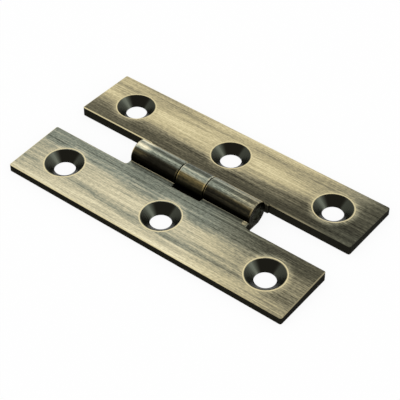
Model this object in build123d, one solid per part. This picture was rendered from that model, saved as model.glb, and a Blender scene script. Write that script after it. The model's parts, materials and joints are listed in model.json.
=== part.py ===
from build123d import *
from math import radians, tan
import os

# A small H hinge for a cabinet door, in solid drawn brass, lying open and flat.
# X runs along the hinge, Y across it, and Z up from the backs of the leaves.
# The pin axis is above the line y = 0. All sizes are in millimetres.

# Leaf, as drawn: thick beside the barrel, thinner at the outer edge, flat at the back
hinge_length = 64.0
open_width = 35.0
inner_edge_y = 3.8
inner_edge_thickness = 2.05
outer_edge_thickness = 1.6
corner_round = 0.4
arris_chamfer = 0.15

# Barrel, drawn in one with the leaf and cut into knuckles
barrel_radius = 2.6
axis_height = 2.5
barrel_length = 28.2
barrel_root_round = 0.12
neck_corner_round = 0.6
middle_knuckle_length = 6.3
knuckle_gap = 0.2

# Edge cut back to clear the knuckles of the other leaf
relief_edge_y = 3.45
relief_corner_round = 0.3

# Pin, pressed into the two outer knuckles and loose in the middle one
pin_radius = 1.25
running_clearance = 0.05
pin_end_chamfer = 0.12

# Screw holes, three in a line along the middle of each leaf
screw_hole_count = 3
screw_hole_spacing = 23.8
screw_hole_y = 10.75
screw_hole_radius = 2.1
countersink_radius = 3.8
countersink_angle = 100.0

# Larger than anything that a cut has to pass through
cut_size = 80.0

# Places that follow from the sizes above
outer_edge_y = open_width / 2
leaf_end_x = hinge_length / 2
barrel_end_x = barrel_length / 2
middle_knuckle_end_x = middle_knuckle_length / 2
outer_knuckle_start_x = middle_knuckle_end_x + knuckle_gap
face_fall = (inner_edge_thickness - outer_edge_thickness) / (outer_edge_y - inner_edge_y)
place_tolerance = 0.01


def face_height(y):
    """Height of the leaf's sloping face at the distance y from the pin axis."""
    return outer_edge_thickness + face_fall * (outer_edge_y - y)


def leaf_section():
    """The drawn section of leaf and barrel, in the YZ plane, with the leaf towards +Y."""
    with BuildSketch(Plane.YZ) as section:
        with BuildLine():
            Polyline(
                (0, 0),
                (outer_edge_y, 0),
                (outer_edge_y, outer_edge_thickness),
                (0, face_height(0)),
                close=True,
            )
        make_face()
        with Locations((0, axis_height)):
            Circle(barrel_radius)
        with Locations((0, -cut_size / 2)):
            Rectangle(cut_size, cut_size, mode=Mode.SUBTRACT)
        barrel_root = section.vertices().sort_by(Axis.Y)[-1]
        fillet(barrel_root, barrel_root_round)
    return section.sketch


def mill_back(leaf, x_low, x_high, edge_y):
    """Cut the barrel away between two places along the hinge, back to an edge at edge_y."""
    cutter = Box(x_high - x_low, cut_size, cut_size, align=(Align.MIN, Align.MAX, Align.CENTER))
    return leaf - Pos(x_low, edge_y, 0) * cutter


def is_at(value, place):
    """True where two lengths agree within the tolerance used to pick edges."""
    return abs(value - place) < place_tolerance


def upright_edges(leaf, x, y):
    """The upright edges at the plan position x, y and at its mirror image in x."""
    upright = leaf.edges().filter_by(Axis.Z)
    return upright.filter_by(lambda edge: is_at(abs(edge.center().X), x) and is_at(edge.center().Y, y))


def milled_section():
    """A length of the drawn section with the barrel milled off at both ends."""
    leaf = extrude(leaf_section(), leaf_end_x, both=True)
    leaf = mill_back(leaf, barrel_end_x, cut_size, inner_edge_y)
    leaf = mill_back(leaf, -cut_size, -barrel_end_x, inner_edge_y)
    outer_corners = upright_edges(leaf, leaf_end_x, outer_edge_y)
    inner_corners = upright_edges(leaf, leaf_end_x, inner_edge_y)
    return fillet(outer_corners + inner_corners, corner_round)


def is_arris(edge):
    """True for an edge round the face of the leaf or round the end of a knuckle."""
    if edge.bounding_box().max.Z < place_tolerance:
        return False
    if edge.geom_type != GeomType.LINE:
        return True
    halfway = 0.5
    direction = edge % halfway
    stands_upright = is_at(abs(direction.Z), 1)
    runs_along_barrel = is_at(abs(direction.X), 1) and edge.center().Y < relief_edge_y - place_tolerance
    return not (stands_upright or runs_along_barrel)


def ease_arrises(leaf):
    """Take the sharpness off the edges of the face and of the knuckle ends."""
    return chamfer(leaf.edges().filter_by(is_arris), arris_chamfer)


def screw_holes():
    """Cutters for the countersunk holes: a plain hole with a cone that opens through the face."""
    slope = tan(radians(countersink_angle / 2))
    cone_depth = countersink_radius / slope
    cone_height = 2 * cone_depth
    cone = Cone(0, cone_height * slope, cone_height, align=(Align.CENTER, Align.CENTER, Align.MIN))
    cutter = Cylinder(screw_hole_radius, cut_size) + Pos(0, 0, face_height(screw_hole_y) - cone_depth) * cone
    row = GridLocations(screw_hole_spacing, 0, screw_hole_count, 1)
    return [Pos(0, screw_hole_y, 0) * place * cutter for place in row]


def pin_bore(radius):
    """A cutter along the pin axis."""
    return Pos(0, 0, axis_height) * Rot(0, 90, 0) * Cylinder(radius, hinge_length)


def two_knuckle_leaf():
    """The leaf that carries both outer knuckles, turned round to lie towards -Y."""
    leaf = milled_section()
    leaf = mill_back(leaf, -outer_knuckle_start_x, outer_knuckle_start_x, relief_edge_y)
    leaf = fillet(upright_edges(leaf, barrel_end_x, inner_edge_y), neck_corner_round)
    leaf = fillet(upright_edges(leaf, outer_knuckle_start_x, relief_edge_y), relief_corner_round)
    leaf = ease_arrises(leaf)
    leaf -= pin_bore(pin_radius)
    leaf -= screw_holes()
    return Rot(0, 0, 180) * leaf


def one_knuckle_leaf():
    """The leaf that carries the middle knuckle, lying towards +Y."""
    leaf = milled_section()
    leaf = mill_back(leaf, middle_knuckle_end_x, barrel_end_x, relief_edge_y)
    leaf = mill_back(leaf, -barrel_end_x, -middle_knuckle_end_x, relief_edge_y)
    leaf = fillet(upright_edges(leaf, barrel_end_x, relief_edge_y), relief_corner_round)
    leaf = fillet(upright_edges(leaf, middle_knuckle_end_x, relief_edge_y), relief_corner_round)
    leaf = ease_arrises(leaf)
    leaf -= pin_bore(pin_radius + running_clearance)
    leaf -= screw_holes()
    return leaf


def hinge_pin():
    """The pin, as long as the barrel, with its ends flush with the outer knuckles."""
    pin = Cylinder(pin_radius, barrel_length)
    pin = chamfer(pin.edges().filter_by(GeomType.CIRCLE), pin_end_chamfer)
    return Pos(0, 0, axis_height) * Rot(0, 90, 0) * pin


os.makedirs("parts", exist_ok=True)
export_step(two_knuckle_leaf(), "parts/two_knuckle_leaf.step")
export_step(one_knuckle_leaf(), "parts/one_knuckle_leaf.step")
export_step(hinge_pin(), "parts/hinge_pin.step")
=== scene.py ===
import json
import math

import bpy
from mathutils import Matrix, Vector


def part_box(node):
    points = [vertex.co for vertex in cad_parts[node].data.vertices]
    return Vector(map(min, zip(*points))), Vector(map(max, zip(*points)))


bl_info = {
    "name": "H hinge in antique brass",
    "version": (1, 0, 0),
    "blender": (4, 5, 0),
    "location": "3D View > Sidebar > Hinge",
    "description": "Finishes a small H hinge in brushed antique brass and sets it on a pale floor",
    "category": "Material",
}

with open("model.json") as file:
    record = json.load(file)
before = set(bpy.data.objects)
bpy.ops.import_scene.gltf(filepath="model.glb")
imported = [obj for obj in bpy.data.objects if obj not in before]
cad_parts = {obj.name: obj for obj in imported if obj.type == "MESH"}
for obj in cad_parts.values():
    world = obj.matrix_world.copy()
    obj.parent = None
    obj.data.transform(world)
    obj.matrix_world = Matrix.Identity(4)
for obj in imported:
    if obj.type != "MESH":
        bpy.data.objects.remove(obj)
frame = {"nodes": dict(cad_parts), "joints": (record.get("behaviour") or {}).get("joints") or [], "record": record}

# Node kinds that the materials use again and again
MATH = "ShaderNodeMath"
VECTOR_MATH = "ShaderNodeVectorMath"
RANGE = "ShaderNodeMapRange"
RAMP = "ShaderNodeValToRGB"
NOISE = "ShaderNodeTexNoise"
COMBINE = "ShaderNodeCombineXYZ"

# Millimetres in a metre
MM = 1000.0

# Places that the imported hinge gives, in millimetres
mounts = {mount["name"]: mount for mount in frame["record"]["mounts"]}
screw_row = mounts["far_leaf_end_screws"]
HOLE_ROW_Y = screw_row["pos_m"][1] * MM
HOLE_SPACING = screw_row["dims"]["spacing_x_mm"] / 2
AXIS_HEIGHT = frame["joints"][0]["pos_m"][2] * MM
LEAF_END_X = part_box("two_knuckle_leaf")[1].x * MM
LEAF_EDGE_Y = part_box("one_knuckle_leaf")[1].y * MM
BARREL_END_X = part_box("hinge_pin")[1].x * MM
BARREL_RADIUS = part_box("two_knuckle_leaf")[1].z * MM - AXIS_HEIGHT


def linear(hex_colour):
    """An sRGB hex colour as the three linear numbers that a shader takes, by the sRGB curve."""
    channels = [int(hex_colour[i : i + 2], 16) / 255 for i in (1, 3, 5)]
    return [c / 12.92 if c <= 0.04045 else ((c + 0.055) / 1.055) ** 2.4 for c in channels]


def colour_property(name, description, hex_colour):
    """A colour in a property group, with its default as an sRGB hex value."""
    return bpy.props.FloatVectorProperty(
        name=name,
        description=description,
        default=linear(hex_colour),
        subtype="COLOR",
        size=3,
        min=0,
        max=1,
    )


def length_property(name, description, millimetres):
    """A length in a property group, with its default in millimetres."""
    return bpy.props.FloatProperty(
        name=name,
        description=description,
        default=millimetres / MM,
        precision=5,
        subtype="DISTANCE",
        unit="LENGTH",
    )


class HingeSizes(bpy.types.PropertyGroup):
    """Sizes that say where the finish changes on the hinge."""

    outer_thickness: length_property("Outer edge", "Thickness of a leaf at its outer edge", 1.6)
    inner_thickness: length_property("Inner edge", "Thickness of a leaf beside the barrel", 2.05)
    inner_edge: length_property("Inner edge place", "Distance from the pin to a leaf's inner edge", 3.8)
    relief_edge: length_property("Relief edge place", "Distance from the pin to the cut back edge", 3.45)
    seam: length_property("Seam", "Distance from the pin to the foot of a knuckle on the face", 2.6)
    rim_radius: length_property("Countersink", "Radius of a countersink at the face", 3.8)
    rim_width: length_property("Rim", "Width of the bright ring round a countersink", 0.2)
    edge_width: length_property("Worn edge", "Width of the bright line along an edge", 0.14)
    arris: length_property("Arris", "Width of the eased edges", 0.15)


class BrushSettings(bpy.types.PropertyGroup):
    """The marks that lengthwise brushing left in the patina."""

    patch_length: length_property("Patch length", "Length of a patch of even tone", 30.0)
    patch_width: length_property("Patch width", "Width of a patch of even tone", 2.4)
    stroke_length: length_property("Stroke length", "Length of a brush stroke", 22.0)
    stroke_width: length_property("Stroke width", "Width of a brush stroke", 0.6)
    hair_length: length_property("Hairline length", "Length of a hairline scratch", 13.0)
    hair_width: length_property("Hairline width", "Width of a hairline scratch", 0.2)
    fleck_length: length_property("Fleck length", "Length of a fleck of patina", 0.7)
    fleck_width: length_property("Fleck width", "Width of a fleck of patina", 0.2)
    stroke_depth: length_property("Stroke depth", "Depth of the strokes", 0.012)
    turning_pitch: length_property("Turning pitch", "Distance between the tool marks in a countersink", 0.25)


class BrassColours(bpy.types.PropertyGroup):
    """Colours of the brass, from untouched patina to rubbed metal, and shades for painted light on it."""

    # The darkest tone lies low on the knuckles: dark patina, deepened there as painted shade
    darkest_shade: colour_property("Darkest shade", "Patina at its darkest, low on the knuckles", "#0c0b08")
    patina: colour_property("Patina", "Black brown left where no brush reached", "#24231d")
    brown: colour_property("Brown", "Patina that a brush has thinned", "#56513f")
    khaki: colour_property("Khaki", "Half rubbed brass", "#8f866a")
    straw: colour_property("Straw", "Brass that shows through", "#c2b58b")
    brass: colour_property("Brass", "Bare pale brass", "#e8dbae")
    # The cold shades stand for painted sheen, a painted reflection of the studio light on the patina
    slate: colour_property("Slate", "Thinned patina with a cold sheen", "#575b50")
    sage: colour_property("Sage", "Half rubbed brass with a cold sheen", "#8a8f80")
    bone: colour_property("Bone", "Brass that shows through, with a cold sheen", "#c4bda2")
    cream: colour_property("Cream", "Bare brass with a cold sheen", "#ece5c6")


class StageSettings(bpy.types.PropertyGroup):
    """Floor, air and camera."""

    floor_colour: colour_property("Floor", "Colour of the floor's paint", "#f8f8f8")
    # Painted shade: a dark patch on the floor under the middle of the barrel, where the floor isn't lifted
    painted_shade_colour: colour_property("Deep shade", "Colour of the floor right under the barrel", "#1c1a16")
    floor_size: length_property("Floor size", "Side of the square floor", 4000)
    floor_lift: bpy.props.FloatProperty(
        name="Floor lift",
        description="Share of the floor's brightness, as the camera sees it, that shadows don't dim",
        default=0.88,
        subtype="FACTOR",
        min=0,
        max=1,
    )
    air_light: bpy.props.FloatProperty(
        name="Air light",
        description="Strength of the even light from all round",
        default=1.0,
        min=0,
    )
    camera_target: bpy.props.FloatVectorProperty(
        name="Camera target",
        description="Point on the hinge that the camera looks at",
        default=(0.002553, -0.002254, 0.001),
        subtype="TRANSLATION",
        unit="LENGTH",
    )
    camera_distance: length_property("Camera distance", "Distance from camera to target", 252.29)
    camera_azimuth: bpy.props.FloatProperty(
        name="Azimuth",
        description="Direction of the camera round the hinge, from the near side",
        default=math.radians(37.69),
        subtype="ANGLE",
        unit="ROTATION",
    )
    camera_elevation: bpy.props.FloatProperty(
        name="Elevation",
        description="Height of the camera above the floor, as an angle",
        default=math.radians(43.36),
        subtype="ANGLE",
        unit="ROTATION",
    )
    camera_roll: bpy.props.FloatProperty(
        name="Roll",
        description="Lean of the camera",
        default=math.radians(0.373),
        subtype="ANGLE",
        unit="ROTATION",
    )
    lens: bpy.props.FloatProperty(
        name="Lens",
        description="Focal length on a sensor 36 mm wide",
        default=121.28,
        subtype="DISTANCE_CAMERA",
        min=1,
    )


# Soft steps, each as the two places between which it changes and its values there.
# The first five go by the distance from the pin axis or from the end of a knuckle, in millimetres.
OFF_BARREL = (BARREL_RADIUS + 0.02, BARREL_RADIUS + 0.06, 0.0, 1.0)
ON_BARREL = (BARREL_RADIUS + 0.02, BARREL_RADIUS + 0.06, 1.0, 0.0)
KNUCKLE_END = (BARREL_RADIUS - 0.2, BARREL_RADIUS - 0.13, 1.0, 0.0)
KNUCKLE_ARRIS = (BARREL_RADIUS - 0.02, BARREL_RADIUS - 0.05, 0.0, 1.0)
BESIDE_KNUCKLE_END = (0.2, 0.28, 1.0, 0.0)

# Halo round a countersink, by the distance from the middle of the hole
HALO = (4.1, 5.4, 0.55, 0.0)

# Back of a leaf, by the height above it
ON_BACK = (0.04, 0.01, 0.0, 1.0)

# Brightness of the worn ring at a knuckle's end, and golden flank, by the angle round the axis in degrees
RING_LIGHT = (15, 50, 0.2, 1.0)
GOLD_FLANK = (62, 52, 0.0, 1.0)

# Painted cold sheen, by the distance across a leaf and by the strength of the rubbed lines
COLD_ACROSS = (6.5, 9.5, 1.0, 0.72)
COLD_ON_LINES = (0.2, 0.6, 1.0, 0.3)

# By tone: share of the brush marks, roughness, and reflection at a grazing angle. Dark patina takes the
# fewest marks, is the roughest and reflects least.
MARK_SHARE = (0.05, 0.5, 0.25, 1.0)
ROUGHNESS = (0.0, 1.0, 0.42, 0.34)
EDGE_TINT = (0.0, 0.45, 0.4, 1.0)

# In millimetres: the width over which a countersink's mask fades, how far outside the rim the bright ring
# starts, and how far past its own width the ring reaches before it fades
CONE_FADE = 0.04
RIM_FADE_IN = 0.05
RIM_FADE_OUT = 0.08

# Depth below the face at which the brushing ends, in widths of the eased edge
BRUSH_REACH = (0.8, 1.2)

# Brush marks: name, detail, step in the seed, and how far each moves the tone
MARKS = (
    ("patch", 2.0, 0, 0.32),
    ("stroke", 3.0, 11, 0.52),
    ("hair", 2.0, 23, 0.58),
    ("fleck", 1.0, 37, 0.45),
)
GRAIN_ROUGHNESS = 0.55

# How far the patches move the bands of tone: millimetres across and along a leaf, degrees round a knuckle
WANDER_ACROSS = 3.0
WANDER_ALONG = 8.0
WANDER_ROUND = 10.0

# Lean of the bands: degrees round a knuckle for a millimetre along it, which tilts the painted highlight
# and shade there, and millimetres along a leaf for a millimetre across it
KNUCKLE_LEAN = 0.55
FACE_LEAN = -0.8

# Tones, and how far strokes and flecks move them where the brush marks don't reach
LEAST_FACE_TONE = 0.25
HALO_TONE = 0.72
END_TONE = 0.12
SIDE_TONE = 0.1
SIDE_FLECKS = 0.1
BACK_TONE = 0.34
BACK_STROKES = 0.5
BACK_FLECKS = 0.3

# Tone of a countersink by the direction from its middle, in degrees from +X, with bands of painted reflection
CONE_REFLECTION_BANDS = (
    (-180, 0.34), (-172, 0.25), (-160, 0.2), (-120, 0.17), (-60, 0.17), (0, 0.17), (75, 0.19),
    (90, 0.07), (145, 0.07), (158, 0.2), (170, 0.38), (180, 0.34),
)

# Tones at which the shades of the warm and the cold row lie
SHADE_PLACES = (0.0, 0.12, 0.3, 0.52, 0.76, 1.0)

# Turn of the hue on a golden flank, from the middle at which a hue stays as it is
GOLD_HUE = -0.01
SAME_HUE = 0.5

# Roughness of knuckles and countersinks, how far turned and brushed metal draw out a highlight, and the
# strength of the relief
SMOOTH_ROUGHNESS = 0.26
TURNED_ANISOTROPY = 0.8
BRUSHED_ANISOTROPY = 0.5
BUMP_STRENGTH = 0.35

# Pin: size of the mottle in millimetres, its detail, the mottle at which each of its two shades lies, the
# roughness by mottle, and the grazing reflection
MOTTLE_SIZE = 0.8
MOTTLE_DETAIL = 3.0
PIN_SHADE_PLACES = (0.3, 1.0)
PIN_ROUGHNESS = (0.3, 0.7, 0.4, 0.55)
PIN_EDGE_TINT = 0.4

# How each leaf is rubbed, and where light and shade are painted on it. A line of pairs gives a place, in
# millimetres or degrees, and a tone or a share there. Inner lines run along a leaf on the side of the barrel:
# from and to, in millimetres from the middle, the edge they follow, and a tone. The glint is a painted
# highlight on a worn corner: its middle and its radius, in millimetres.
NEAR_LEAF_FINISH = {
    "seed": 3.0,
    "across": (
        (0, 0.42), (5, 0.43), (7.2, 0.46), (8.2, 0.52), (9.6, 0.68), (12.2, 0.7), (14, 0.56),
        (15, 0.68), (16, 0.71), (17.5, 0.8),
    ),
    # Along the leaf, darker towards the right end
    "along": (
        (-44, 0.96), (-28, 1.06), (-20, 1.1), (-4, 1.04), (4, 0.93), (10, 0.82), (16, 0.68), (24, 0.66),
    ),
    # Share of the painted cold sheen along the leaf
    "cold": ((-32, 1.0), (7, 1.0), (12, 0.75), (20, 0.45), (28, 0.25), (32, 0.2)),
    "outer_line": 0.9,
    "inner_lines": (
        (0, 3.35, "relief_edge", 0.5), (3.35, 14.1, "seam", 0.6), (14.1, 33, "inner_edge", 0.6),
    ),
    "line_along": ((-32, 1.0), (0, 1.0), (12, 0.6), (13, 0.6), (32, 0.6)),
    "glint": ((13.4, -2.95, 2.1), 0.7),
    "rim": 0.9,
    # Painted light round a knuckle: highlight on top, reflection at the back outline, shade low over patina
    "knuckle": (
        (-90, 0), (20, 0), (30, 0.08), (38, 0.13), (46, 0.1), (54, 0.17), (61, 0.4),
        (70, 0.45), (78, 0.54), (86, 0.35), (94, 0.28), (102, 0.44), (106, 0.6), (116, 0.45), (135, 0.6),
        (150, 0.5), (180, 0),
    ),
    # Along the knuckles, with a painted highlight at the left end
    "knuckle_along": ((-15, 1.7), (-12, 1.85), (-10, 0.9), (-4, 0.85), (4, 0.95), (15, 1.05)),
    # Painted cold sheen on top of the knuckles, by the angle round the axis
    "knuckle_cold": ((0, 0), (54, 0), (64, 1), (116, 1), (126, 0), (180, 0)),
    "knuckle_ends": (3.35, 14.1),
    "knuckle_ring": ((-15, 0.8), (-5, 0.2), (3, 0.6), (13, 0.5), (15, 0.5)),
    "knuckle_cold_along": ((-15, 1.0), (6, 1.0), (14, 0.2)),
    "knuckle_gold": 0.3,
}
FAR_LEAF_FINISH = {
    "seed": 7.0,
    "across": (
        (0, 0.27), (4.8, 0.27), (6.0, 0.33), (7.2, 0.38), (8.2, 0.46), (9.2, 0.57), (10.2, 0.7),
        (11.5, 0.77), (12.3, 0.76), (13.2, 0.68), (15, 0.61), (16, 0.67), (17.5, 0.67),
    ),
    # Along the leaf, darker towards the right end
    "along": (
        (-44, 1.14), (-37, 0.98), (-30, 1.04), (-20, 1.12), (0, 1.07), (8, 0.9), (14, 0.68), (18, 0.42),
        (24, 0.3),
    ),
    # Share of the painted cold sheen along the leaf
    "cold": ((-32, 0.1), (20, 0.15), (26, 0.4), (32, 0.5)),
    "outer_line": 0.8,
    "inner_lines": ((0, 14.1, "relief_edge", 0.65), (14.1, 33, "inner_edge", 0.85)),
    "line_along": ((-32, 1.0), (0, 1.0), (12, 0.6), (22, 0.6), (27, 0.35), (32, 0.25)),
    "rim": 0.9,
    # Painted light round the knuckle: highlight on top, reflection at the back outline, shade low over patina
    "knuckle": (
        (-90, 0), (2, 0.04), (10, 0.08), (26, 0.12), (34, 0.19), (42, 0.27), (50, 0.28), (58, 0.4),
        (66, 0.52), (74, 0.36), (82, 0.52), (90, 0.32), (98, 0.24), (112, 0.3), (135, 0.5), (150, 0.4),
        (180, 0),
    ),
    "knuckle_along": ((-15, 1.0), (15, 1.0)),
    # Painted cold sheen on top of the knuckle, by the angle round the axis
    "knuckle_cold": ((0, 0), (56, 0), (66, 1), (116, 1), (126, 0), (180, 0)),
    "knuckle_ends": (3.15,),
    "knuckle_ring": ((-4, 0.75), (0, 0.7), (4, 0.5)),
    "knuckle_cold_along": ((-15, 1.0), (15, 1.0)),
    "knuckle_gold": 0.4,
}


def add(tree, kind, inputs=None, stops=(), **settings):
    """Add a node with settings, ramp stops and inputs, where a node stands for its first output."""
    node = tree.nodes.new(kind)
    for name, value in settings.items():
        setattr(node, name, value)
    if stops:
        elements = node.color_ramp.elements
        elements.remove(elements[-1])
        elements[0].position, elements[0].color = stops[0]
        for position, colour in stops[1:]:
            elements.new(position).color = colour
    for key, value in (inputs or {}).items():
        if isinstance(value, bpy.types.Node):
            value = value.outputs[0]
        if isinstance(value, bpy.types.NodeSocket):
            tree.links.new(value, node.inputs[key])
        else:
            node.inputs[key].default_value = value
    return node


def new_material(name):
    """An empty material with nodes, and its tree."""
    material = bpy.data.materials.new(name)
    material.use_nodes = True
    material.node_tree.nodes.clear()
    return material, material.node_tree


def grey(value):
    """A grey that stands for a number in a ramp."""
    return (value, value, value, 1.0)


def opaque(colour):
    """A colour of a property group as a ramp or a shader takes it."""
    return (*colour, 1.0)


def step(tree, value, start, end, low=0.0, high=1.0):
    """A soft step in a value: low where the value is at start, high where it is at end."""
    inputs = {"Value": value, "From Min": start, "From Max": end, "To Min": low, "To Max": high}
    return add(tree, RANGE, inputs, interpolation_type="SMOOTHSTEP")


def lookup(tree, value, pairs):
    """A tone looked up along a line of pairs, each of a place and a tone."""
    start, end = pairs[0][0], pairs[-1][0]
    turned = add(tree, RANGE, {"Value": value, "From Min": start, "From Max": end})
    stops = [((at - start) / (end - start), grey(tone)) for at, tone in pairs]
    return add(tree, RAMP, {0: turned}, stops=stops)


def product(tree, first, second):
    """Two values multiplied."""
    return add(tree, MATH, {0: first, 1: second}, operation="MULTIPLY")


def scaled(tree, value, factor, addend):
    """A value times a factor, plus an addend."""
    return add(tree, MATH, {0: value, 1: factor, 2: addend}, operation="MULTIPLY_ADD")


def shifted(tree, value, marks, amount):
    """A value moved to and fro by noise, which lies about a half."""
    shift = scaled(tree, marks, amount, -amount / 2)
    return add(tree, MATH, {0: value, 1: shift}, operation="ADD")


def difference(tree, first, second):
    """The first value less the second."""
    return add(tree, MATH, {0: first, 1: second}, operation="SUBTRACT")


def apart(tree, value, middle):
    """How far a value lies from a middle, on either side."""
    return add(tree, MATH, {0: difference(tree, value, middle)}, operation="ABSOLUTE")


def larger(tree, first, second):
    """The larger of two values."""
    return add(tree, MATH, {0: first, 1: second}, operation="MAXIMUM")


def blend(tree, share, low, high):
    """One value where the share is 0, turning into another where it is 1."""
    return add(tree, "ShaderNodeMix", {0: share, 2: low, 3: high})


def blend_colours(tree, share, low, high):
    """One colour where the share is 0, turning into another where it is 1."""
    return add(tree, "ShaderNodeMix", {0: share, 6: low, 7: high}, data_type="RGBA").outputs[2]


class Place:
    """Where a point of the hinge lies, in millimetres, as sockets that the masks share."""

    def __init__(self, tree, sizes):
        position = add(tree, "ShaderNodeTexCoord").outputs["Object"]
        self.point = add(tree, VECTOR_MATH, {0: position, "Scale": MM}, operation="SCALE")
        parts = add(tree, "ShaderNodeSeparateXYZ", {0: self.point})
        self.x, self.y, self.z = parts.outputs
        self.along = add(tree, MATH, {0: self.x}, operation="ABSOLUTE")
        self.across = add(tree, MATH, {0: self.y}, operation="ABSOLUTE")
        self.find_holes(tree, sizes)
        self.find_face(tree, sizes)
        self.find_barrel(tree)

    def find_holes(self, tree, sizes):
        """The way from the axis of the nearest screw hole, and a mask of its countersink."""
        half = HOLE_SPACING / 2
        hole_x = add(tree, MATH, {0: self.x, 1: half, 2: -half}, operation="WRAP")
        side = add(tree, MATH, {0: self.y}, operation="SIGN")
        hole_y = product(tree, difference(tree, self.across, HOLE_ROW_Y), side)
        self.from_hole = add(tree, COMBINE, {0: hole_x, 1: hole_y})
        self.hole_distance = add(tree, VECTOR_MATH, {0: self.from_hole}, operation="LENGTH").outputs["Value"]
        rim = sizes.rim_radius * MM
        self.in_cone = step(tree, self.hole_distance, rim, rim + CONE_FADE, 1.0, 0.0)

    def find_face(self, tree, sizes):
        """The depth below the sloping face of the leaf."""
        outer = sizes.outer_thickness * MM
        inner = sizes.inner_thickness * MM
        slope = (inner - outer) / (LEAF_EDGE_Y - sizes.inner_edge * MM)
        height = scaled(tree, self.across, -slope, outer + slope * LEAF_EDGE_Y)
        self.depth = difference(tree, height, self.z)

    def find_barrel(self, tree):
        """The distance from the pin axis, the angle round it from -Y over the top, and two masks."""
        rise = difference(tree, self.z, AXIS_HEIGHT)
        forward = product(tree, self.y, -1.0)
        arm = add(tree, COMBINE, {0: forward, 1: rise})
        self.axis_distance = add(tree, VECTOR_MATH, {0: arm}, operation="LENGTH").outputs["Value"]
        turn = add(tree, MATH, {0: rise, 1: forward}, operation="ARCTAN2")
        self.axis_angle = add(tree, MATH, {0: turn}, operation="DEGREES")
        self.on_barrel = step(tree, self.axis_distance, *ON_BARREL)
        self.knuckle_end = step(tree, self.axis_distance, *KNUCKLE_END)


def grain(tree, place, brush, mark, detail, seed):
    """Noise drawn out along the hinge, as a brush leaves it, from about 0.3 to 0.7."""
    length = getattr(brush, mark + "_length") * MM
    width = getattr(brush, mark + "_width") * MM
    inputs = {0: place.point, 1: (1 / length, 1 / width, 1 / width), 2: (seed, seed, seed)}
    point = add(tree, VECTOR_MATH, inputs, operation="MULTIPLY_ADD")
    return add(tree, NOISE, {"Vector": point, "Scale": 1.0, "Detail": detail, "Roughness": GRAIN_ROUGHNESS})


def bright_lines(tree, place, sizes, finish):
    """How far edges and countersink rims are rubbed bright, with a painted glint on a corner, from 0 to 1."""
    arris = sizes.arris * MM
    width = sizes.edge_width * MM
    outer = difference(tree, LEAF_EDGE_Y, place.across)
    end = difference(tree, LEAF_END_X, place.along)
    nearest = add(tree, MATH, {0: outer, 1: end}, operation="MINIMUM")
    lines = step(tree, nearest, arris, arris + width, finish["outer_line"], 0.0)
    for x_from, x_to, edge, strength in finish["inner_lines"]:
        away = apart(tree, place.across, getattr(sizes, edge) * MM + arris / 2)
        line = step(tree, away, arris / 2, arris / 2 + width, strength, 0.0)
        here = {0: place.along, 1: (x_from + x_to) / 2, 2: (x_to - x_from) / 2}
        line = product(tree, line, add(tree, MATH, here, operation="COMPARE"))
        lines = larger(tree, lines, line)
    lines = product(tree, lines, lookup(tree, place.x, finish["line_along"]))
    # A painted highlight on a worn corner beside the end of the barrel
    if "glint" in finish:
        middle, radius = finish["glint"]
        away = add(tree, VECTOR_MATH, {0: place.point, 1: middle}, operation="DISTANCE").outputs["Value"]
        lines = larger(tree, lines, step(tree, away, radius / 2, radius, 1.0, 0.0))
    lines = product(tree, lines, step(tree, place.axis_distance, *OFF_BARREL))
    rim = sizes.rim_radius * MM
    ring_end = rim + sizes.rim_width * MM + RIM_FADE_OUT
    ring = step(tree, place.hole_distance, ring_end, ring_end + width, finish["rim"], 0.0)
    outside = step(tree, place.hole_distance, rim + RIM_FADE_IN, rim + width)
    return larger(tree, lines, product(tree, ring, outside))


def knuckle_tone(tree, place, finish, patches):
    """Knuckle tone: painted highlight on top, painted shade low down over dark patina, worn rings, dark ends."""
    angle = scaled(tree, place.x, KNUCKLE_LEAN, place.axis_angle)
    tone = lookup(tree, shifted(tree, angle, patches, WANDER_ROUND), finish["knuckle"])
    tone = product(tree, tone, lookup(tree, place.x, finish["knuckle_along"]))
    ring = step(tree, place.axis_distance, *KNUCKLE_ARRIS)
    for end in finish["knuckle_ends"]:
        beside = step(tree, apart(tree, place.along, end), *BESIDE_KNUCKLE_END)
        ring = larger(tree, ring, beside)
    lit = step(tree, place.axis_angle, *RING_LIGHT)
    lit = product(tree, lit, lookup(tree, place.x, finish["knuckle_ring"]))
    tone = larger(tree, tone, product(tree, ring, lit))
    return blend(tree, place.knuckle_end, tone, END_TONE)


def face_tone(tree, place, finish, patches):
    """Rubbing across a face and a tone along it, darker at the right end, with a halo round each countersink."""
    tone = lookup(tree, shifted(tree, place.across, patches, WANDER_ACROSS), finish["across"])
    along = shifted(tree, scaled(tree, place.across, FACE_LEAN, place.x), patches, WANDER_ALONG)
    tone = product(tree, tone, lookup(tree, along, finish["along"]))
    tone = larger(tree, tone, LEAST_FACE_TONE)
    return blend(tree, step(tree, place.hole_distance, *HALO), tone, HALO_TONE)


def cone_tone(tree, place):
    """Tone of a countersink, black but for soft radial bands of painted reflection on the turned metal."""
    parts = add(tree, "ShaderNodeSeparateXYZ", {0: place.from_hole})
    turn = add(tree, MATH, {0: parts.outputs["Y"], 1: parts.outputs["X"]}, operation="ARCTAN2")
    return lookup(tree, add(tree, MATH, {0: turn}, operation="DEGREES"), CONE_REFLECTION_BANDS)


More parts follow.
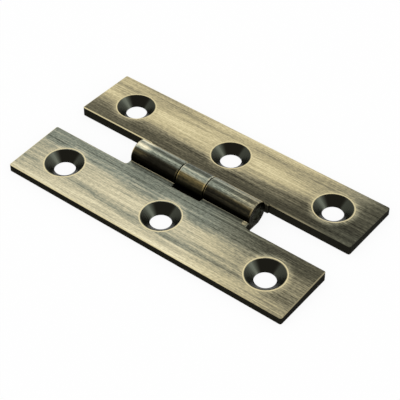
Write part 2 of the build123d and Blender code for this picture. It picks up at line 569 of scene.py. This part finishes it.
def leaf_tone(tree, place, sizes, finish, layers, lines):
    """Tone of every point of a leaf, from 0 for untouched patina to 1 for bare brass, painted light included."""
    patches, strokes, _, flecks = layers
    face = face_tone(tree, place, finish, patches)
    tone = blend(tree, place.on_barrel, face, knuckle_tone(tree, place, finish, patches))
    marked = tone
    for layer, (_, _, _, strength) in zip(layers, MARKS):
        marked = shifted(tree, marked, layer, strength)
    tone = blend(tree, step(tree, tone, *MARK_SHARE), tone, marked)
    tone = larger(tree, tone, lines)

    # Sides, backs and countersinks, where the brush didn't reach or only passed once
    shallow, deep = (sizes.arris * MM * share for share in BRUSH_REACH)
    reached = step(tree, place.depth, shallow, deep, 1.0, 0.0)
    reached = larger(tree, reached, place.on_barrel)
    side = shifted(tree, SIDE_TONE, flecks, SIDE_FLECKS)
    back = shifted(tree, shifted(tree, BACK_TONE, strokes, BACK_STROKES), flecks, BACK_FLECKS)
    side = blend(tree, step(tree, place.z, *ON_BACK), side, back)
    tone = blend(tree, reached, side, tone)
    tone = blend(tree, place.in_cone, tone, cone_tone(tree, place))
    return add(tree, MATH, {0: tone, 1: 0.0}, operation="ADD", use_clamp=True)


def shades(tree, tone, row):
    """The colour of a tone along a row of shades, from dark to pale."""
    stops = [(at, opaque(colour)) for at, colour in zip(SHADE_PLACES, row)]
    return add(tree, RAMP, {0: tone}, stops=stops)


def leaf_colour(tree, place, colours, finish, patches, tone, lines):
    """Warm shades, cold under painted sheen, in countersinks and on knuckle ends, golden on a knuckle's flank."""
    warm_row = (colours.darkest_shade, colours.patina, colours.brown, colours.khaki, colours.straw, colours.brass)
    cold_row = (colours.darkest_shade, colours.patina, colours.slate, colours.sage, colours.bone, colours.cream)
    warm = shades(tree, tone, warm_row)
    cold = shades(tree, tone, cold_row)
    share = lookup(tree, shifted(tree, place.x, patches, WANDER_ALONG), finish["cold"])
    share = product(tree, share, step(tree, place.across, *COLD_ACROSS))
    on_knuckle = lookup(tree, place.axis_angle, finish["knuckle_cold"])
    on_knuckle = product(tree, on_knuckle, lookup(tree, place.x, finish["knuckle_cold_along"]))
    share = blend(tree, place.on_barrel, share, on_knuckle)
    share = product(tree, share, step(tree, lines, *COLD_ON_LINES))
    unbrushed = larger(tree, place.in_cone, place.knuckle_end)
    share = larger(tree, share, unbrushed)
    colour = blend_colours(tree, share, warm, cold)
    gold = product(tree, place.on_barrel, step(tree, place.axis_angle, *GOLD_FLANK))
    gold = blend(tree, unbrushed, gold, 0.0)
    saturation = scaled(tree, gold, finish["knuckle_gold"], 1.0)
    hue = scaled(tree, gold, GOLD_HUE, SAME_HUE)
    shifts = {"Hue": hue, "Saturation": saturation, "Color": colour}
    return add(tree, "ShaderNodeHueSaturation", shifts)


def tool_marks(tree, place, brush, strokes, hairs):
    """Relief of the surface: strokes along the hinge, and turned rings in the countersinks."""
    turned = product(tree, place.hole_distance, 2 * math.pi / (brush.turning_pitch * MM))
    turned = add(tree, MATH, {0: turned}, operation="SINE")
    turned = product(tree, turned, place.in_cone)
    height = add(tree, MATH, {0: strokes, 1: hairs}, operation="ADD")
    height = blend(tree, place.in_cone, height, turned)
    inputs = {"Height": height, "Strength": BUMP_STRENGTH, "Distance": brush.stroke_depth}
    return add(tree, "ShaderNodeBump", inputs)


def grain_tangent(tree, place):
    """The way across the tool marks, which run along the hinge and round each countersink."""
    inputs = {0: place.in_cone, 4: (0.0, 1.0, 0.0), 5: place.from_hole}
    across = add(tree, "ShaderNodeMix", inputs, data_type="VECTOR")
    turn = {"vector_type": "VECTOR", "convert_from": "OBJECT", "convert_to": "WORLD"}
    return add(tree, "ShaderNodeVectorTransform", {0: across.outputs[1]}, **turn)


def brushed_antique_brass(name, sizes, brush, colours, finish):
    """Solid drawn brass, blackened and brushed lengthwise, pale streaks in dark patina, painted light and shade.
    """
    material, tree = new_material(name)
    place = Place(tree, sizes)
    layers = []
    for mark, detail, seed_step, _ in MARKS:
        layers.append(grain(tree, place, brush, mark, detail, finish["seed"] + seed_step))
    patches, strokes, hairs, _ = layers
    lines = bright_lines(tree, place, sizes, finish)
    tone = leaf_tone(tree, place, sizes, finish, layers, lines)
    rough = step(tree, tone, *ROUGHNESS)
    rough = blend(tree, larger(tree, place.on_barrel, place.in_cone), rough, SMOOTH_ROUGHNESS)
    inputs = {
        "Base Color": leaf_colour(tree, place, colours, finish, patches, tone, lines),
        "Metallic": 1.0,
        "Roughness": rough,
        "Anisotropic": blend(tree, place.in_cone, BRUSHED_ANISOTROPY, TURNED_ANISOTROPY),
        "Tangent": grain_tangent(tree, place),
        "Specular Tint": step(tree, tone, *EDGE_TINT),
        "Normal": tool_marks(tree, place, brush, strokes, hairs),
    }
    shader = add(tree, "ShaderNodeBsdfPrincipled", inputs)
    add(tree, "ShaderNodeOutputMaterial", {"Surface": shader})
    return material


def turned_pin_brass(colours):
    """Brass rod with turned ends, blackened: a dull dark metal with a faint mottle."""
    material, tree = new_material("turned_pin_brass")
    position = add(tree, "ShaderNodeTexCoord").outputs["Object"]
    mottle = add(tree, NOISE, {"Vector": position, "Scale": MM / MOTTLE_SIZE, "Detail": MOTTLE_DETAIL})
    dark, pale = PIN_SHADE_PLACES
    stops = [(dark, opaque(colours.patina)), (pale, opaque(colours.slate))]
    inputs = {
        "Base Color": add(tree, RAMP, {0: mottle}, stops=stops),
        "Metallic": 1.0,
        "Roughness": step(tree, mottle, *PIN_ROUGHNESS),
        "Specular Tint": grey(PIN_EDGE_TINT),
    }
    shader = add(tree, "ShaderNodeBsdfPrincipled", inputs)
    add(tree, "ShaderNodeOutputMaterial", {"Surface": shader})
    return material


def dress(node, material):
    """Give a CAD node its material."""
    piece = frame["nodes"][node]
    piece.data.materials.clear()
    piece.data.materials.append(material)


def finish_leaf(scene, node, side, finish):
    """Give a leaf its own brushed brass."""
    settings = (scene.hinge_sizes, scene.hinge_brush, scene.hinge_colours)
    material = brushed_antique_brass("brushed_antique_brass_" + side, *settings, finish)
    dress(node, material)


class HINGE_OT_near_leaf(bpy.types.Operator):
    """Finish the leaf that carries both outer knuckles."""

    bl_idname = "hinge.near_leaf"
    bl_label = "Near leaf"

    def execute(self, context):
        finish_leaf(context.scene, "two_knuckle_leaf", "near", NEAR_LEAF_FINISH)
        return {"FINISHED"}


class HINGE_OT_far_leaf(bpy.types.Operator):
    """Finish the leaf that carries the middle knuckle."""

    bl_idname = "hinge.far_leaf"
    bl_label = "Far leaf"

    def execute(self, context):
        finish_leaf(context.scene, "one_knuckle_leaf", "far", FAR_LEAF_FINISH)
        return {"FINISHED"}


class HINGE_OT_pin(bpy.types.Operator):
    """Finish the pin."""

    bl_idname = "hinge.pin"
    bl_label = "Pin"

    def execute(self, context):
        dress("hinge_pin", turned_pin_brass(context.scene.hinge_colours))
        return {"FINISHED"}


# Roughness of the floor's paint, and how far the floor lies below the backs of the leaves, in metres
PAINT_ROUGHNESS = 0.5
FLOOR_DROP = 0.00002

# Soft lamps: name, azimuth round the hinge and elevation in degrees, width and height in metres, watts.
# The overhead one makes the sheen along the knuckles.
SOFTBOXES = (("overhead_softbox", -106, 62, 0.3, 0.22, 0.12),)
SOFTBOX_DISTANCE = 0.6

# Camera: width of its sensor in millimetres, and where its view starts, as a share of its distance
SENSOR_WIDTH = 36
VIEW_START = 0.01


def seen_directly(tree):
    """1 for a ray from the camera, or one that a polished or clear surface sends on, and 0 for light."""
    path = add(tree, "ShaderNodeLightPath").outputs
    seen = larger(tree, path["Is Camera Ray"], path["Is Glossy Ray"])
    return larger(tree, seen, path["Is Transmission Ray"])


def painted_shade_under_barrel(tree):
    """1 on the bit of floor beside the middle knuckle that is painted dark as shade, and 0 elsewhere."""
    coordinates = add(tree, "ShaderNodeTexCoord")
    point = add(tree, "ShaderNodeSeparateXYZ", {0: coordinates.outputs["Object"]})
    along = add(tree, MATH, {0: point, 1: 0.0, 2: BARREL_END_X / 2 / MM}, operation="COMPARE")
    across = add(tree, MATH, {0: point.outputs["Y"], 1: 0.0, 2: BARREL_RADIUS / MM}, operation="COMPARE")
    return product(tree, along, across)


def painted_floor(stage):
    """Matt white paint, lifted towards white where it is looked at, and clear from below, with painted shade under
    the barrel.
    """
    material, tree = new_material("matt_white_paint")
    shade = painted_shade_under_barrel(tree)
    colour = blend_colours(tree, shade, opaque(stage.floor_colour), opaque(stage.painted_shade_colour))
    paint = add(tree, "ShaderNodeBsdfDiffuse", {"Color": colour, "Roughness": PAINT_ROUGHNESS})
    glow = add(tree, "ShaderNodeEmission", {"Color": grey(1.0), "Strength": 1.0})
    lift = product(tree, seen_directly(tree), blend(tree, shade, stage.floor_lift, 0.0))
    mixed = add(tree, "ShaderNodeMixShader", {0: lift, 1: paint, 2: glow})
    below = add(tree, "ShaderNodeNewGeometry").outputs["Backfacing"]
    clear = add(tree, "ShaderNodeBsdfTransparent")
    mixed = add(tree, "ShaderNodeMixShader", {0: below, 1: mixed, 2: clear})
    add(tree, "ShaderNodeOutputMaterial", {"Surface": mixed})
    return material


def direction(azimuth, elevation):
    """The way from the hinge to a lamp or the camera, from two angles in radians."""
    level = math.cos(elevation)
    return Vector((math.sin(azimuth) * level, -math.cos(azimuth) * level, math.sin(elevation)))


def softbox(name, target, azimuth, elevation, width, height, watts):
    """A soft lamp aimed at the hinge, placed by its direction round it and its height."""
    lamp = bpy.data.lights.new(name, "AREA")
    lamp.shape = "RECTANGLE"
    lamp.size = width
    lamp.size_y = height
    lamp.energy = watts
    holder = bpy.data.objects.new(name, lamp)
    bpy.context.scene.collection.objects.link(holder)
    away = direction(math.radians(azimuth), math.radians(elevation))
    holder.location = target + away * SOFTBOX_DISTANCE
    holder.rotation_euler = away.to_track_quat("Z", "Y").to_euler()


class HINGE_OT_stage(bpy.types.Operator):
    """Set the floor, the light and the camera."""

    bl_idname = "hinge.stage"
    bl_label = "Stage"

    def execute(self, context):
        stage = context.scene.hinge_stage
        target = Vector(stage.camera_target)
        self.lay_floor(stage)
        self.light(context.scene, stage, target)
        self.place_camera(context.scene, stage, target)
        return {"FINISHED"}

    def lay_floor(self, stage):
        """A square floor just under the backs of the leaves."""
        half = stage.floor_size / 2
        mesh = bpy.data.meshes.new("floor")
        corners = [(x * half, y * half, -FLOOR_DROP) for x, y in ((-1, -1), (1, -1), (1, 1), (-1, 1))]
        mesh.from_pydata(corners, [], [(0, 1, 2, 3)])
        floor = bpy.data.objects.new("floor", mesh)
        bpy.context.scene.collection.objects.link(floor)
        mesh.materials.append(painted_floor(stage))

    def light(self, scene, stage, target):
        """Even light from the air, which looks white, and the soft lamps."""
        world = bpy.data.worlds.new("studio_air")
        world.use_nodes = True
        tree = world.node_tree
        tree.nodes.clear()
        strength = blend(tree, seen_directly(tree), stage.air_light, 1.0)
        air = add(tree, "ShaderNodeBackground", {"Color": grey(1.0), "Strength": strength})
        add(tree, "ShaderNodeOutputWorld", {"Surface": air})
        scene.world = world
        for name, *places in SOFTBOXES:
            softbox(name, target, *places)

    def place_camera(self, scene, stage, target):
        """The camera, aimed by azimuth, elevation and roll."""
        camera = bpy.data.cameras.new("camera")
        camera.sensor_width = SENSOR_WIDTH
        camera.lens = stage.lens
        camera.clip_start = stage.camera_distance * VIEW_START
        camera.clip_end = stage.floor_size
        holder = bpy.data.objects.new("camera", camera)
        scene.collection.objects.link(holder)
        back = direction(stage.camera_azimuth, stage.camera_elevation)
        aim = back.to_track_quat("Z", "Y").to_matrix().to_4x4()
        roll = Matrix.Rotation(stage.camera_roll, 4, "Z")
        holder.matrix_world = Matrix.Translation(target + back * stage.camera_distance) @ aim @ roll
        scene.camera = holder
        scene.view_settings.view_transform = "Standard"


STEPS = (HINGE_OT_near_leaf, HINGE_OT_far_leaf, HINGE_OT_pin, HINGE_OT_stage)


class HINGE_PT_panel(bpy.types.Panel):
    """The steps that finish the hinge, and the values they use."""

    bl_idname = "HINGE_PT_panel"
    bl_label = "H hinge"
    bl_space_type = "VIEW_3D"
    bl_region_type = "UI"
    bl_category = "Hinge"

    def draw(self, context):
        for operator in STEPS:
            self.layout.operator(operator.bl_idname)
        for name in GROUPS:
            group = getattr(context.scene, name)
            box = self.layout.box()
            for key in group.__annotations__:
                box.prop(group, key)


GROUPS = {
    "hinge_sizes": HingeSizes,
    "hinge_brush": BrushSettings,
    "hinge_colours": BrassColours,
    "hinge_stage": StageSettings,
}


def register():
    for name, group in GROUPS.items():
        bpy.utils.register_class(group)
        setattr(bpy.types.Scene, name, bpy.props.PointerProperty(type=group))
    for kind in (*STEPS, HINGE_PT_panel):
        bpy.utils.register_class(kind)


def unregister():
    for kind in (*STEPS, HINGE_PT_panel):
        bpy.utils.unregister_class(kind)
    for name, group in GROUPS.items():
        delattr(bpy.types.Scene, name)
        bpy.utils.unregister_class(group)


def main():
    register()
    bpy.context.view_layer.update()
    bpy.ops.hinge.near_leaf()
    bpy.ops.hinge.far_leaf()
    bpy.ops.hinge.pin()
    bpy.ops.hinge.stage()


if __name__ == "__main__":
    main()
